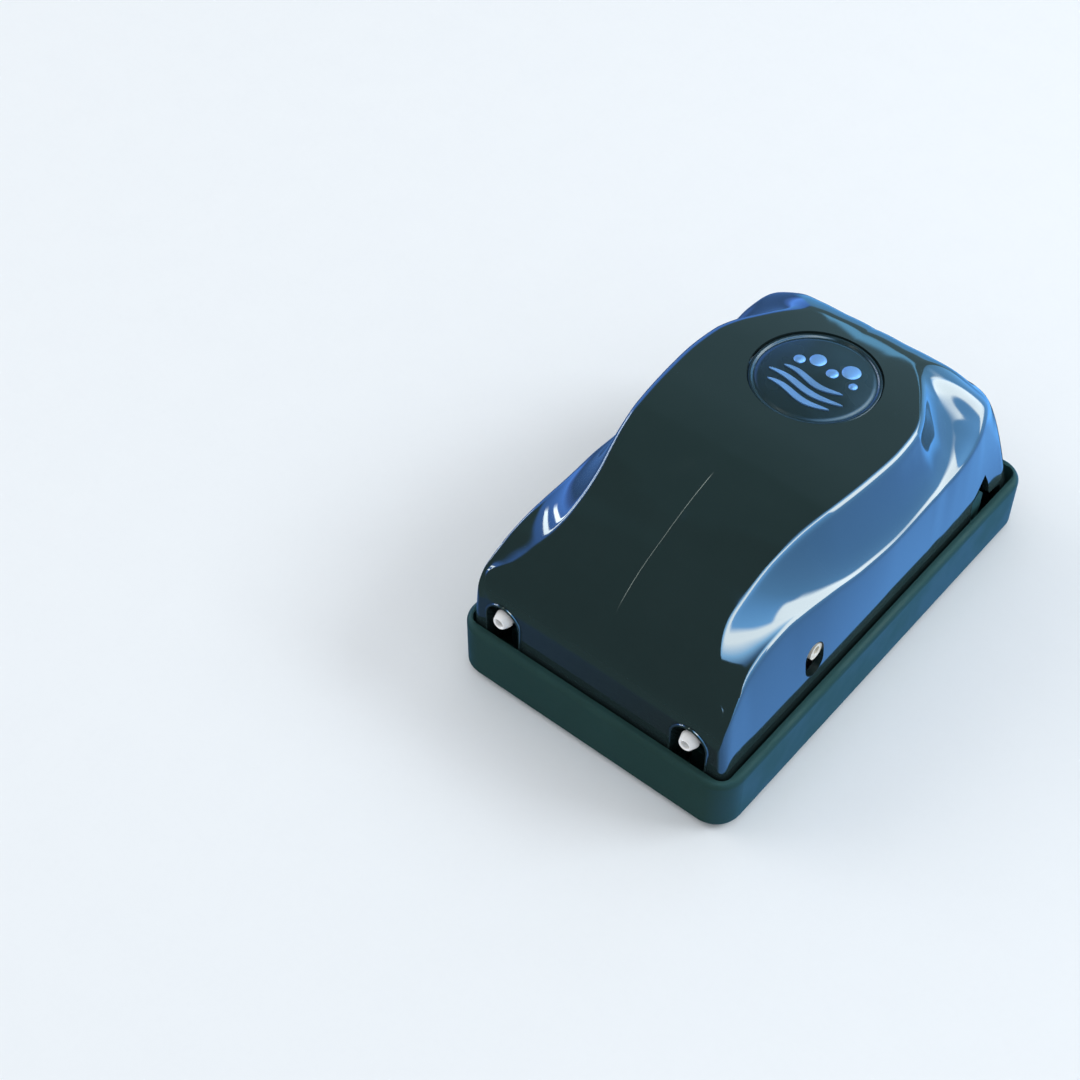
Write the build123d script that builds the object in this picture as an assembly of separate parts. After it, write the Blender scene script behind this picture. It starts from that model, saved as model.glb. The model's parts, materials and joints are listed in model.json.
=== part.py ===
from build123d import *
import os
from math import sqrt

# Twin outlet diaphragm air pump for an aquarium.
# X is the width, Y the length with the air outlets at -Y, Z is up from the feet. Millimetres.

# Base tray
tray_length = 150.0
tray_width = 91.5
tray_corner = 8.0
foot_stand = 1.5           # the feet lift the tray this far
rim_top = 19.3
rim_wall = 2.6
rim_corner = 3.2           # plan radius of the rim's inner corners
rim_round = 1.9            # fillet on the rim's outer lip
foot_round = 1.2           # fillet round the underside
floor_thickness = 2.4
ledge_width = 3.0          # step inside the rim that carries the casing
ledge_top = 9.0

# Top casing
skirt_gap = 0.75           # shadow groove between rim and casing
skirt_top = 17.5           # the skirt is upright below this
casing_wall = 2.2
front_corner, rear_corner = 2.5, 6.0   # plan radii of the casing
side_bulge = 0.5           # the side walls swell by this
band_hollow = 0.7          # the band between the creases is hollow by this
arch_top = 31.5            # crown of the arches round the outlets
arch_width = 11.0
arch_lining = 1.2
arch_depth = (-75.0, -62.2)
window_y, window_z = -31.0, 29.2   # round ended intake window in each side
window_width, window_height = 8.0, 11.0
notch_outline = [           # (y, z) corners of the pry notch low in each side, near the rear
    (47.0, 0.0), (47.5, 26.0), (53.5, 31.5), (56.0, 27.0), (57.5, 21.5), (64.0, 20.0), (66.0, 0.0),
]
notch_depth = (38.5, 46.0)
tab_y, tab_x, tab_top = (48.9, 54.5), (38.6, 41.4), 25.5   # the tray's tab that stands in the notch

# Mechanism
mech_z = 27.0              # height of magnets, diaphragms and outlets
pivot_x, pivot_y = 10.0, -58.0
pin_radius = 1.5
running_clearance = 0.03
outlet_x = 31.0
head_y = -30.0             # pump head and diaphragm centre line
head_size = 28.0
head_inner, head_outer = 26.5, 36.0
plate_thickness = 2.5
diaphragm_radius = 13.5
nipple_radius = 2.3
nipple_bore = 1.3
nozzle_tip = -73.6
spigot_y, spigot_z = -29.6, 30.6   # intake spigot behind the window
spigot_radius, spigot_end = 2.6, 40.6
divider = (1.5, 2.9)       # wall between the head's two chambers, above the outlets
arm_half = 6.5             # half height of the swing arm's hub
core_thickness = 16.0
core_y = (10.0, 50.0)
leg_half, core_half, window_half = 6.5, 22.0, 15.5
back_bar = 8.0
badge_y, badge_radius = 22.5, 18.6
badge_floor = 65.3

# Fixings
front_screw = (21.0, -64.0)
rear_screw = (34.0, 55.0)
foot_place = (35.5, 64.0)
foot_radius = 6.0
gland_x, gland_z = 0.0, 12.0
gland_sleeve, gland_flange = 4.5, 5.4
cord_radius = 3.1

# Derived sizes
tray_floor_top = foot_stand + floor_thickness
skirt_half_x = tray_width / 2 - rim_wall - skirt_gap
skirt_half_y = tray_length / 2 - rim_wall - skirt_gap
core_bottom = mech_z - core_thickness / 2
core_top = mech_z + core_thickness / 2
head_bottom = mech_z - head_size / 2
pin_top = mech_z + arm_half + 2.6
clip_z = (mech_z + arm_half + 0.4, mech_z + arm_half + 1.2)
plate_inner = head_inner - plate_thickness
case_screws_at = [(sx * x, y) for x, y in (front_screw, rear_screw) for sx in (-1, 1)]
feet_at = [(sx * foot_place[0], sy * foot_place[1]) for sx in (-1, 1) for sy in (-1, 1)]


def block(x, y, z):
    """A box between the limits (low, high) on each axis."""
    size = [high - low for low, high in (x, y, z)]
    centre = [(low + high) / 2 for low, high in (x, y, z)]
    return Pos(*centre) * Box(*size)


def upright(x, y, z_low, z_high, radius):
    return Pos(x, y, (z_low + z_high) / 2) * Cylinder(radius, z_high - z_low)


def rod_x(y, z, x_low, x_high, radius):
    return Pos((x_low + x_high) / 2, y, z) * Rot(0, 90, 0) * Cylinder(radius, x_high - x_low)


def rod_y(x, z, y_low, y_high, radius):
    return Pos(x, (y_low + y_high) / 2, z) * Rot(90, 0, 0) * Cylinder(radius, y_high - y_low)


def rounded_slab(half_x, half_y, corner, z_low, z_high):
    outline = RectangleRounded(2 * half_x, 2 * half_y, corner)
    return Pos(0, 0, z_low) * extrude(outline, z_high - z_low)


def arch_prism(centre, width, top, bottom, depth, along):
    """A round topped prism that runs through a wall, along X or Y."""
    radius = width / 2
    spring = top - radius
    low, high = depth
    if along == "y":
        body = block((centre - radius, centre + radius), (low, high), (bottom, spring))
        return body + rod_y(centre, spring, low, high, radius)
    body = block((low, high), (centre - radius, centre + radius), (bottom, spring))
    return body + rod_x(centre, spring, low, high, radius)


def screw(x, y, z_head, z_tip, shank, head, head_height):
    """Upright screw with a slotted pan head; the tip may be above or below the head."""
    way = 1 if z_tip > z_head else -1
    z_back = z_head - way * head_height
    body = upright(x, y, min(z_head, z_tip), max(z_head, z_tip), shank)
    body += upright(x, y, min(z_head, z_back), max(z_head, z_back), head)
    slot = Pos(x, y, z_back) * Box(2 * head, 0.7, head_height * 0.8)
    return body - slot


# ---------------------------------------------------------------- casing

def skirt_half_width(y):
    """Half width of the casing's skirt, drawn in round the plan corners."""
    corner = front_corner if y < 0 else rear_corner
    past = abs(y) - (skirt_half_y - corner)
    if past <= 0:
        return skirt_half_x
    return skirt_half_x - corner + sqrt(max(corner**2 - past**2, 0.0))


# Shape of the casing at stations along Y: lower crease (x, z), upper crease (x, z), crown z.
casing_stations = [
    (-71.7, (39.8, 29.9), (35.0, 31.0), 31.8),
    (-71.0, (40.3, 33.7), (36.2, 34.6), 35.4),
    (-69.0, (40.4, 37.7), (36.6, 38.8), 39.6),
    (-65.0, (39.7, 41.9), (34.6, 43.2), 44.2),
    (-60.0, (38.7, 45.8), (31.0, 47.8), 49.0),
    (-50.0, (37.9, 49.1), (26.6, 53.6), 55.6),
    (-37.0, (38.1, 49.3), (27.5, 59.2), 61.4),
    (-22.0, (39.6, 48.0), (30.0, 64.6), 65.4),
    (-5.0, (40.9, 45.6), (32.6, 66.1), 66.8),
    (12.0, (41.3, 45.2), (33.8, 66.4), 67.1),
    (28.0, (41.0, 46.6), (33.0, 66.3), 67.0),
    (42.0, (40.4, 48.0), (32.6, 63.8), 66.3),
    (52.0, (39.8, 47.6), (33.0, 58.4), 61.6),
    (60.0, (39.4, 42.6), (34.0, 49.6), 52.4),
    (67.0, (38.6, 31.5), (33.0, 35.2), 36.6),
    (71.7, (36.0, 19.5), (30.0, 21.4), 21.8),
]


def casing_section(station, scale):
    """One closed cross-section, drawn in towards the middle of the skirt's edge by scale."""
    y, low_crease, high_crease, crown = station
    half = skirt_half_width(y)

    def place(x, z):
        return Vector(x * scale[0], y * scale[1], ledge_top + (z - ledge_top) * scale[2])

    edges = []
    for side in (1, -1):
        corner, shoulder = (side * half, ledge_top), (side * half, skirt_top)
        low, high = (side * low_crease[0], low_crease[1]), (side * high_crease[0], high_crease[1])
        bulge = (side * ((half + low_crease[0]) / 2 + side_bulge), (skirt_top + low[1]) / 2)
        middle = ((low_crease[0] + high_crease[0]) / 2, (low[1] + high[1]) / 2)
        hollow = (side * (middle[0] - band_hollow), middle[1] - band_hollow)
        parts = [
            Line(place(*corner), place(*shoulder)),
            ThreePointArc(place(*shoulder), place(*bulge), place(*low)),
            ThreePointArc(place(*low), place(*hollow), place(*high)),
        ]
        edges += parts if side > 0 else parts[::-1]
        if side > 0:
            far = place(-high_crease[0], high_crease[1])
            edges.append(ThreePointArc(place(*high), place(0, crown), far))
    edges.append(Line(place(-half, ledge_top), place(half, ledge_top)))
    return Wire(edges)


def casing_form(scale=(1.0, 1.0, 1.0)):
    return Solid.make_loft([casing_section(s, scale) for s in casing_stations], True)


def casing_cavity():
    """The inside of the shell: the outer form drawn in by the wall, open underneath."""
    full_height = max(s[3] for s in casing_stations) - ledge_top
    scale = [(size - casing_wall) / size for size in (skirt_half_x, skirt_half_y, full_height)]
    return casing_form(scale)


def outlet_arch(x):
    return arch_prism(x, arch_width, arch_top, 0.0, arch_depth, "y")


def outlet_sleeve(x, form):
    """Wall that lines an outlet's arch and reaches back to the nozzle's flange."""
    width, top = arch_width + 2 * arch_lining, arch_top + arch_lining
    return arch_prism(x, width, top, 12.1, arch_depth, "y") & form


def side_openings(side):
    """The round ended intake window and the pry notch of one side."""
    outline = Rot(0, 0, 90) * SlotOverall(window_height, window_width)
    window = Plane.YZ * Pos(window_y, window_z, side * 36.0) * extrude(outline, side * 10.0)
    low, high = notch_depth
    face = make_face(Polyline(notch_outline, close=True))
    notch = Plane.YZ * Pos(0, 0, side * low) * extrude(face, side * (high - low))
    return window + notch


def grommet_slot():
    reach = gland_sleeve + 0.1
    seat = rod_y(gland_x, gland_z, 66.0, 73.0, reach)
    return seat + block((gland_x - reach, gland_x + reach), (66.0, 73.0), (0.0, gland_z))


def top_casing():
    form = casing_form()
    shell = form - casing_cavity()
    for x, y in case_screws_at:
        shell += upright(x, y, 12.0, 60.0, 4.0) & form
    for side in (-1, 1):
        shell += outlet_sleeve(side * outlet_x, form)
    shell += upright(0, badge_y, badge_floor - 2.0, 70.0, badge_radius + 1.6) & form
    shell -= upright(0, badge_y, badge_floor, 70.0, badge_radius)
    for side in (-1, 1):
        shell -= outlet_arch(side * outlet_x)
        shell -= side_openings(side)
    shell -= grommet_slot()
    for x, y in case_screws_at:
        shell -= upright(x, y, 11.0, 24.0, 1.25)
    return shell


def badge_plate():
    disc = upright(0, badge_y, badge_floor, badge_floor + 0.9, badge_radius - 0.25)
    rim = disc.edges().group_by(Axis.Z)[-1]
    return fillet(rim, 0.4)


def bubble_emblem():
    """Five domed bubbles that rise in a curve across the badge."""
    top = badge_floor + 0.9
    bubbles = [(-8.5, -7.0, 2.2), (-4.0, -1.5, 3.0), (2.5, 2.5, 4.0), (9.0, 8.0, 2.6), (10.5, -2.0, 1.7)]
    height = 0.55
    domes = []
    for x, y, radius in bubbles:
        sphere = (radius**2 + height**2) / (2 * height)
        dome = Pos(x, badge_y + y, top + height - sphere) * Sphere(sphere)
        domes.append(dome & upright(x, badge_y + y, top, top + height + 0.2, radius + 0.5))
    return Compound(children=[d.solid() for d in domes])


# ---------------------------------------------------------------- tray

def tray_wells():
    """Counterbores, screw holes and foot seats, cut from below."""
    cuts = []
    for x, y in case_screws_at:
        cuts.append(upright(x, y, 0.0, 5.5, 3.4))
        cuts.append(upright(x, y, 0.0, 13.0, 1.7))
    for x, y in feet_at:
        cuts.append(upright(x, y, 0.0, foot_stand + 1.0, foot_radius + 0.1))
    return cuts


def filter_pocket():
    outer = block((-20.5, 20.5), (53.0, 67.0), (tray_floor_top, 10.4))
    inner = block((-18.6, 18.6), (54.8, 65.2), (0.0, 9.0))
    vents = [upright(x, 60.0, 8.0, 11.0, 2.0) for x in (-12, -4, 4, 12)]
    return outer, inner, vents


def tray_post(x, y, top, side):
    """A square post on the tray's floor, given for the right hand side."""
    return block(sorted((side * x[0], side * x[1])), y, (tray_floor_top, top))


def tray_posts():
    posts = [upright(x, y, tray_floor_top, 12.0, 4.6) for x, y in case_screws_at]
    posts.append(block((-12.0, 12.0), (43.5, 49.0), (tray_floor_top, core_bottom)))
    for side in (-1, 1):
        posts.append(upright(side * pivot_x, pivot_y, tray_floor_top, mech_z - arm_half - 0.3, 5.0))
        posts.append(upright(side * 27.3, 45.0, tray_floor_top, core_bottom - 0.7, 3.5))
        posts.append(tray_post((27.0, 35.0), (head_y - 20.0, head_y + 20.0), head_bottom, side))
        posts.append(tray_post((27.0, 35.0), (-63.5, -58.5), 12.0, side))
        posts.append(tray_post((16.0, 22.0), (12.0, 22.0), core_bottom, side))
        tab = tray_post(tab_x, tab_y, tab_top, side)
        posts.append(chamfer(tab.edges().filter_by(Axis.X).group_by(Axis.Z)[-1], 2.0))
    return posts


def tray_shell():
    """The tray's floor and rim with the ledge inside it."""
    tray = rounded_slab(tray_width / 2, tray_length / 2, tray_corner, foot_stand, rim_top)
    tray = fillet(tray.edges().group_by(Axis.Z)[0], foot_round)
    tray = fillet(tray.edges().group_by(Axis.Z)[-1], rim_round)
    inside_x, inside_y = tray_width / 2 - rim_wall, tray_length / 2 - rim_wall
    tray -= rounded_slab(inside_x, inside_y, rim_corner, ledge_top, rim_top + 1)
    well_x, well_y = inside_x - ledge_width, inside_y - ledge_width
    return tray - rounded_slab(well_x, well_y, 3.0, tray_floor_top, ledge_top + 1)


def base_tray():
    tray = tray_shell()
    for post in tray_posts():
        tray += post
    pocket, well, vents = filter_pocket()
    tray = tray + pocket - well
    for cut in vents + tray_wells():
        tray -= cut
    for side in (-1, 1):
        tray -= upright(side * pivot_x, pivot_y, 5.0, mech_z, pin_radius)
        tray -= upright(side * 27.3, 45.0, core_bottom - 9.0, core_bottom, 1.2)
        for offset in (-17.0, 17.0):
            tray -= upright(side * outlet_x, head_y + offset, head_bottom - 5.0, head_bottom + 0.5, 1.2)
    tray -= rod_y(gland_x, gland_z, 69.0, 76.0, gland_sleeve)
    return tray - rod_y(gland_x, gland_z, 73.7, 76.0, gland_flange + 0.2)


def rubber_feet():
    feet = []
    for x, y in feet_at:
        foot = upright(x, y, 0.0, foot_stand + 1.0, foot_radius)
        feet.append(fillet(foot.edges().group_by(Axis.Z)[0], 0.4).solid())
    return Compound(children=feet)


def case_screws():
    screws = [screw(x, y, 5.5, 20.0, 1.25, 2.8, 2.0) for x, y in case_screws_at]
    return Compound(children=[s.solid() for s in screws])


def filter_felt():
    return block((-18.3, 18.3), (55.1, 64.9), (3.4, 8.0))


def filter_cover():
    cover = block((-18.4, 18.4), (55.0, 65.0), (foot_stand, 3.3))
    for x in range(-15, 16, 5):
        cover -= block((x - 0.9, x + 0.9), (57.0, 63.0), (0.0, 4.0))
    return cover


def cord_grommet():
    sleeve = rod_y(gland_x, gland_z, 67.2, 75.0, gland_sleeve)
    sleeve += rod_y(gland_x, gland_z, 73.7, 75.0, gland_flange)
    sleeve += rod_y(gland_x, gland_z, 67.2, 69.2, gland_flange)
    return sleeve - rod_y(gland_x, gland_z, 60.0, 80.0, cord_radius)


# ---------------------------------------------------------------- magnet drive

def e_core():
    low, high = core_y
    core = block((-core_half, core_half), core_y, (core_bottom, core_top))
    for side in (-1, 1):
        window = sorted((side * leg_half, side * window_half))
        core -= block(window, (low - 1, high - back_bar), (core_bottom - 1, core_top + 1))
    return core


def squared_ring(inner, outer, y):
    """Rectangular tube round the centre leg, given as (half width, half height)."""
    body = block((-outer[0], outer[0]), y, (mech_z - outer[1], mech_z + outer[1]))
    body = fillet(body.edges().filter_by(Axis.Y), 2.0)
    hole = block((-inner[0], inner[0]), (y[0] - 1, y[1] + 1), (mech_z - inner[1], mech_z + inner[1]))
    return body - hole


def coil_bobbin():
    inner = (leg_half + 0.1, core_thickness / 2 + 0.1)
    bobbin = squared_ring(inner, (7.7, 9.2), (12.0, 41.5))
    bobbin += squared_ring(inner, (15.2, 16.0), (12.0, 13.4))
    bobbin += squared_ring(inner, (15.2, 16.0), (40.1, 41.5))
    bobbin += block((-9.0, 9.0), (40.1, 44.0), (mech_z + 11.0, mech_z + 15.0))
    for x in (-5.0, 5.0):
        bobbin -= rod_y(x, mech_z + 13.0, 41.0, 45.0, 0.5)
    return bobbin


def coil_winding():
    return squared_ring((7.7, 9.2), (14.2, 15.0), (13.4, 40.1))


def coil_tape():
    return squared_ring((14.2, 15.0), (14.7, 15.5), (15.0, 38.5)) + tape_corners()


def tape_corners():
    """Fillets the tape's square hole so that it lies on the winding's round corners."""
    hole = block((-14.2, 14.2), (15.0, 38.5), (mech_z - 15.0, mech_z + 15.0))
    return hole - fillet(hole.edges().filter_by(Axis.Y), 2.0)


def terminal_pins():
    pins = [rod_y(x, mech_z + 13.0, 41.0, 48.5, 0.5) for x in (-5.0, 5.0)]
    return Compound(children=[pin.solid() for pin in pins])


def core_strap():
    """Steel strap over the core's back bar, with a foot each side."""
    y = (41.5, 48.5)
    strap = block((-23.4, 23.4), y, (core_top, core_top + 1.2))
    for side in (-1, 1):
        strap += block(sorted((side * 22.2, side * 23.4)), y, (core_bottom - 0.7, core_top + 1.2))
        foot = block(sorted((side * 22.2, side * 31.0)), y, (core_bottom - 0.7, core_bottom + 0.5))
        strap += foot - upright(side * 27.3, 45.0, core_bottom - 5, core_bottom + 5, 1.5)
    return strap


def strap_screws():
    seat = core_bottom + 0.5
    screws = [screw(side * 27.3, 45.0, seat, core_bottom - 8.5, 1.2, 2.8, 1.8) for side in (-1, 1)]
    return Compound(children=[s.solid() for s in screws])


# ---------------------------------------------------------------- right hand arm and pump head

def swing_arm():
    arm = upright(pivot_x, pivot_y, mech_z - arm_half, mech_z + arm_half, 5.0)
    arm += block((pivot_x - 1.5, pivot_x + 1.5), (pivot_y + 3.5, -1.5), (mech_z - 6.0, mech_z + 6.0))
    arm += block((5.0, 17.0), (-1.6, 0.4), (mech_z - 7.9, mech_z + 7.9))
    arm += rod_x(head_y, mech_z, pivot_x, 13.0, 5.0)
    arm -= upright(pivot_x, pivot_y, mech_z - 20.0, mech_z + 20.0, 3.0)
    for y in (-48.0, -14.0):
        arm -= rod_x(y, mech_z, 5.0, 15.0, 3.4)
    return arm - rod_x(head_y, mech_z, 5.0, 15.0, 1.2)


def arm_bush():
    reach = arm_half + 0.2
    bush = upright(pivot_x, pivot_y, mech_z - reach, mech_z + reach, 3.0)
    return bush - upright(pivot_x, pivot_y, mech_z - 20.0, mech_z + 20.0, pin_radius + running_clearance)


def pivot_pin():
    neck = upright(pivot_x, pivot_y, *clip_z, pin_radius + 1) - upright(pivot_x, pivot_y, *clip_z, 1.1)
    pin = upright(pivot_x, pivot_y, 5.0, pin_top, pin_radius) - neck
    return chamfer(pin.edges().group_by(Axis.Z)[-1], 0.3)


def retaining_clip():
    clip = upright(pivot_x, pivot_y, *clip_z, 3.6) - upright(pivot_x, pivot_y, *clip_z, 1.1)
    return clip - block((pivot_x - 0.9, pivot_x + 0.9), (pivot_y - 5, pivot_y), clip_z)


def magnet_yoke():
    return block((4.6, 17.4), (0.4, 1.8), (mech_z - 8.3, mech_z + 8.3))


def magnet():
    body = block((5.0, 17.0), (1.8, 7.6), (mech_z - 8.0, mech_z + 8.0))
    return chamfer(body.edges().group_by(Axis.Y)[-1], 0.5)


def turned_x(profile):
    """Solid turned about the diaphragm's axis from (x, radius) points."""
    face = make_face(Polyline(profile, close=True))
    return Pos(0, head_y, mech_z) * revolve(face, Axis.X)


def diaphragm():
    """Rubber cup with one rolled convolution between its hub and its clamped rim."""
    hub, rim = 13.0, plate_inner
    profile = [
        (hub, 1.3), (hub, 6.2), (hub + 2.5, 6.2), (rim - 3.4, 11.6), (rim - 2.0, 11.6),
        (rim - 2.0, diaphragm_radius), (rim, diaphragm_radius), (rim, 10.6),
        (rim - 2.6, 10.6), (hub + 2.4, 5.0), (hub + 2.4, 1.3),
    ]
    return turned_x(profile)


def diaphragm_screw():
    start, seat = pivot_x - 1.5, 15.4
    profile = [(start, 0), (start, 1.2), (seat, 1.2), (seat, 3.4), (seat + 1.6, 2.6), (seat + 1.6, 0)]
    return turned_x(profile)


def head_corners():
    reach = head_size / 2 - 2.6
    return [(head_y + a * reach, mech_z + b * reach) for a in (-1, 1) for b in (-1, 1)]


def head_slab(x_low, x_high):
    half = head_size / 2
    slab = block((x_low, x_high), (head_y - half, head_y + half), (mech_z - half, mech_z + half))
    return fillet(slab.edges().filter_by(Axis.X), 2.0)


def clamp_ring():
    ring = head_slab(plate_inner - 3.4, plate_inner)
    ring -= rod_x(head_y, mech_z, plate_inner - 5, plate_inner + 1, 11.9)
    ring -= rod_x(head_y, mech_z, plate_inner - 2.0, plate_inner + 1, diaphragm_radius)
    for y, z in head_corners():
        ring -= rod_x(y, z, plate_inner - 5, plate_inner + 1, 1.2)
    return ring


def valve_plate():
    plate = head_slab(plate_inner, head_inner)
    for y, z in head_corners():
        plate -= rod_x(y, z, plate_inner - 1, head_inner + 1, 1.2)
    for y in (head_y - 1.6, head_y + 1.6):
        plate -= rod_x(y, mech_z + 5.5, plate_inner - 1, head_inner + 1, 1.1)
        plate -= rod_x(y, mech_z - 5.0, plate_inner - 1, head_inner + 1, 1.1)
    return plate


def valve_flap(x_face, way, z_middle):
    """Rubber leaf on one face of the valve plate, hung along its top edge."""
    thickness = sorted((x_face, x_face + way * 0.6))
    leaf = block(thickness, (head_y - 3.5, head_y + 3.5), (z_middle - 3, z_middle + 3))
    return fillet(leaf.edges().filter_by(Axis.X).group_by(Axis.Z)[0], 1.5)


def inlet_flap():
    return valve_flap(plate_inner, -1, mech_z + 5.0)


def outlet_flap():
    return valve_flap(head_inner, 1, mech_z - 5.0)


def pump_head():
    """Valve box with an intake chamber over a delivery chamber."""
    half, skin = head_size / 2, 1.8
    chamber_x = (head_inner - 1, head_outer - skin)
    chamber_y = (head_y - half + skin, head_y + half - skin)
    box = head_slab(head_inner, head_outer)
    box -= block(chamber_x, chamber_y, (mech_z - half + skin, mech_z + divider[0]))
    box -= block(chamber_x, chamber_y, (mech_z + divider[1], mech_z + half - skin))
    for y, z in head_corners():
        box += rod_x(y, z, head_inner, head_outer, 2.6)
    for side in (-1, 1):
        foot_y = sorted((head_y, head_y + side * 20.0))
        box += block((27.0, 35.0), foot_y, (head_bottom, head_bottom + skin))
    box += rod_y(outlet_x, mech_z, head_y - half - 8.0, head_y - half, nipple_radius)
    box += rod_x(spigot_y, spigot_z, head_outer - 1.0, spigot_end, spigot_radius)
    box -= rod_y(outlet_x, mech_z, head_y - half - 9.0, head_y - half + 3.0, nipple_bore)
    box -= rod_x(spigot_y, spigot_z + 0.6, head_outer - 3.0, spigot_end + 1.0, 1.2)
    for offset in (-17.0, 17.0):
        box -= upright(outlet_x, head_y + offset, head_bottom - 1, head_bottom + skin + 1, 1.4)
    for y, z in head_corners():
        box -= rod_x(y, z, head_inner - 1, head_outer - 1.5, 1.2)
    return box


def head_screws():
    """Four screws that clamp ring, diaphragm rim and valve plate to the head."""
    seat = plate_inner - 3.4
    screws = []
    for y, z in head_corners():
        body = rod_x(y, z, seat, head_outer - 1.6, 1.2) + rod_x(y, z, seat - 1.6, seat, 2.3)
        screws.append((body - Pos(seat - 1.6, y, z) * Box(1.2, 0.6, 6.0)).solid())
    return Compound(children=screws)


def mounting_screws():
    """Two screws that hold the head's feet to the tray."""
    seat, tip = head_bottom + 1.8, head_bottom - 4.7
    screws = [screw(outlet_x, head_y + offset, seat, tip, 1.2, 2.6, 1.6) for offset in (-17.0, 17.0)]
    return Compound(children=[s.solid() for s in screws])


def outlet_nozzle():
    """Air outlet: a hose tail each way from an arched flange."""
    flange = arch_prism(outlet_x, arch_width + 1.6, arch_top + 2.0, 12.0, (-62.0, -60.0), "y")
    tail = rod_y(outlet_x, mech_z, nozzle_tip, -52.5, nipple_radius)
    tail = chamfer(tail.edges().group_by(Axis.Y)[0], 0.6)
    return flange + tail - rod_y(outlet_x, mech_z, -80.0, -50.0, nipple_bore)


def air_tube():
    tube = rod_y(outlet_x, mech_z, -59.8, -44.2, nipple_radius + 1.0)
    return tube - rod_y(outlet_x, mech_z, -62.0, -40.0, nipple_radius)


# ---------------------------------------------------------------- assembly

single_parts = [
    top_casing, badge_plate, bubble_emblem, base_tray, rubber_feet, case_screws, filter_felt,
    filter_cover, cord_grommet, e_core, coil_bobbin, coil_winding, coil_tape, terminal_pins,
    core_strap, strap_screws,
]
mirrored_parts = [
    swing_arm, arm_bush, pivot_pin, retaining_clip, magnet_yoke, magnet, diaphragm,
    diaphragm_screw, clamp_ring, valve_plate, inlet_flap, outlet_flap, pump_head, head_screws,
    mounting_screws, outlet_nozzle, air_tube,
]

if __name__ == "__main__":
    os.makedirs("parts", exist_ok=True)
    for build in single_parts:
        export_step(build(), f"parts/{build.__name__}.step")
    for build in mirrored_parts:
        right = build()
        export_step(right, f"parts/{build.__name__}_right.step")
        export_step(mirror(right, about=Plane.YZ), f"parts/{build.__name__}_left.step")
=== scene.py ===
"""Looks of the aquarium air pump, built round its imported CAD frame. Lengths are in mm until to_object()."""

import json
import math

import bmesh
import bpy
import numpy as np
from mathutils import Matrix, Vector


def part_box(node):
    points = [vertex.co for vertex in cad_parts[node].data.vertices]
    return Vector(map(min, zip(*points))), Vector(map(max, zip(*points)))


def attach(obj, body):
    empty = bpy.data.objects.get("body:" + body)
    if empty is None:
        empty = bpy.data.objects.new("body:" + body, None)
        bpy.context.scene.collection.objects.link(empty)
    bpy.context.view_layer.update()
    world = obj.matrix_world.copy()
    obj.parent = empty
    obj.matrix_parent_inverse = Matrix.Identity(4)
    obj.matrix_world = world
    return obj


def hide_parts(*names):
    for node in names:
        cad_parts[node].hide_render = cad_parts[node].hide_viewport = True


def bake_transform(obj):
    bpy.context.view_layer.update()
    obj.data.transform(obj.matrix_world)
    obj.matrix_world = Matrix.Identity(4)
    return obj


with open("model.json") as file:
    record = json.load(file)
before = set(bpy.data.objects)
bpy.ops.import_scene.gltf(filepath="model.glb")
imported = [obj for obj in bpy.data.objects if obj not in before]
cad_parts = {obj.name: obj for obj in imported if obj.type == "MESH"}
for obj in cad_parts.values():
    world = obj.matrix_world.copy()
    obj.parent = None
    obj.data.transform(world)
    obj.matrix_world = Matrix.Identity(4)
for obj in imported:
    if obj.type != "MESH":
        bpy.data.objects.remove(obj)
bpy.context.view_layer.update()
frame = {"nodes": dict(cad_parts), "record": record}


def mm_box(node):
    """A CAD node's lowest and highest corners in mm."""
    low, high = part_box(node)
    return np.array(low) * 1000.0, np.array(high) * 1000.0


def middle(node):
    low, high = mm_box(node)
    return (low + high) / 2


# ---------------------------------------------------------------- sizes, mostly from the frame
CASING_LOW, CASING_HIGH = mm_box("top_casing")
TRAY_LOW, TRAY_HIGH = mm_box("base_tray")
BADGE_LOW, BADGE_HIGH = mm_box("badge_plate")
RIM_AND_GROOVE = 3.35                         # from the tray's outside to the casing's
HALF_X = TRAY_HIGH[0] - RIM_AND_GROOVE        # half width of the casing's skirt
HALF_Y = TRAY_HIGH[1] - RIM_AND_GROOVE        # half length of the casing's skirt
FRONT_CORNER, REAR_CORNER = 2.5, 6.0          # plan radii of the skirt
WALL = 2.2
SKIRT_LOW = CASING_LOW[2]
TRAY_FOOT = TRAY_LOW[2]                       # the guide curves' heights are above the tray's underside
BEAD = 0.5                                    # radius of the lip round each outlet arch
SKIN_SHARP = 50                               # creases under this angle stay smooth
RELAX_ROUNDS = 2
BADGE_Y = middle("badge_plate")[1]
BADGE_RADIUS = (BADGE_HIGH[0] - BADGE_LOW[0]) / 2
BADGE_FLOOR = BADGE_LOW[2]
OUTLET_X, _, OUTLET_Z = middle("air_tube_right")
NOZZLE_LOW, NOZZLE_HIGH = mm_box("outlet_nozzle_right")
ARCH_WIDTH, ARCH_TOP, ARCH_LINING = 11.0, 31.5, 1.2
SCREWS_AT = [(side * x, y) for x, y in ((21.0, -64.0), (34.0, 55.0)) for side in (-1, 1)]
WINDOW_Y, WINDOW_Z, WINDOW_WIDTH, WINDOW_HEIGHT = -31.0, 29.2, 8.0, 11.0
SCREW_BORE = 1.25
GLAND_Z, GLAND_CUT = 12.0, 4.6                # the casing is notched over the cord's gland
NOTCH = [(47.0, 0.0), (47.5, 26.0), (53.5, 31.5), (56.0, 27.0), (57.5, 21.5), (64.0, 20.0), (66.0, 0.0)]


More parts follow.
